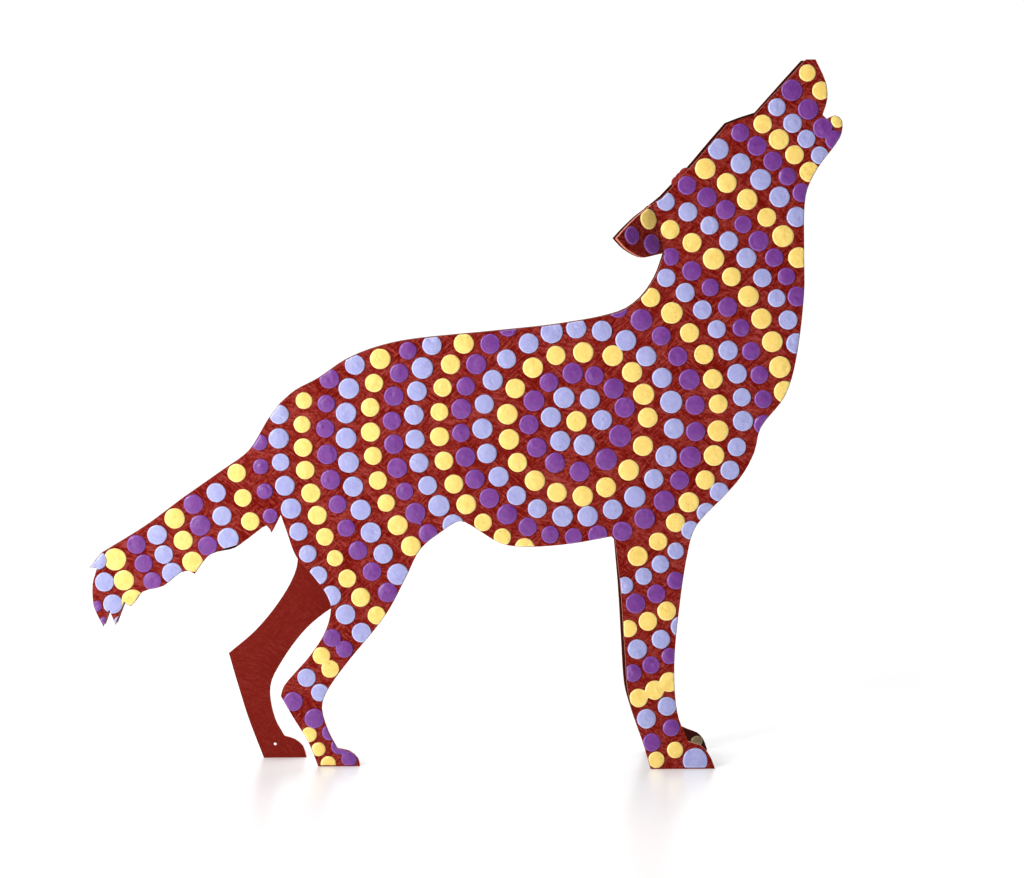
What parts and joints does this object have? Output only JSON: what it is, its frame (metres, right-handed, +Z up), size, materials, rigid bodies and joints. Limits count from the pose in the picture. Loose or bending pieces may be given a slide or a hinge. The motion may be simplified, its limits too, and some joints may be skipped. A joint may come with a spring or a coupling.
{
  "type": "howling coyote figure",
  "caption": "Free-standing howling coyote silhouette of two thin painted metal sheets with folded-out legs and ears, covered in rings of raised paint dots.",
  "frame": {"origin": "on the floor plane, under the middle of the figure's length and of its thickness", "axes": "+X from tail to muzzle, +Y from the near sheet to the far sheet, +Z up"},
  "size_m": [0.298, 0.0398, 0.2795],
  "materials": {
    "red_brown_paint": "brushed satin paint over sheet steel",
    "rod_steel": "plain",
    "yellow_paint": "thick satin paint",
    "lilac_paint": "thick satin paint",
    "purple_paint": "thick satin paint"
  },
  "bodies": {
    "root": {"near_panel": "red_brown_paint", "far_panel": "red_brown_paint", "spacer_rods": "rod_steel", "brow_bead": "red_brown_paint", "near_yellow_dots": "yellow_paint", "near_lilac_dots": "lilac_paint", "near_purple_dots": "purple_paint", "far_yellow_dots": "yellow_paint", "far_lilac_dots": "lilac_paint", "far_purple_dots": "purple_paint", "foot_dot": "yellow_paint"}
  },
  "joints": []
}
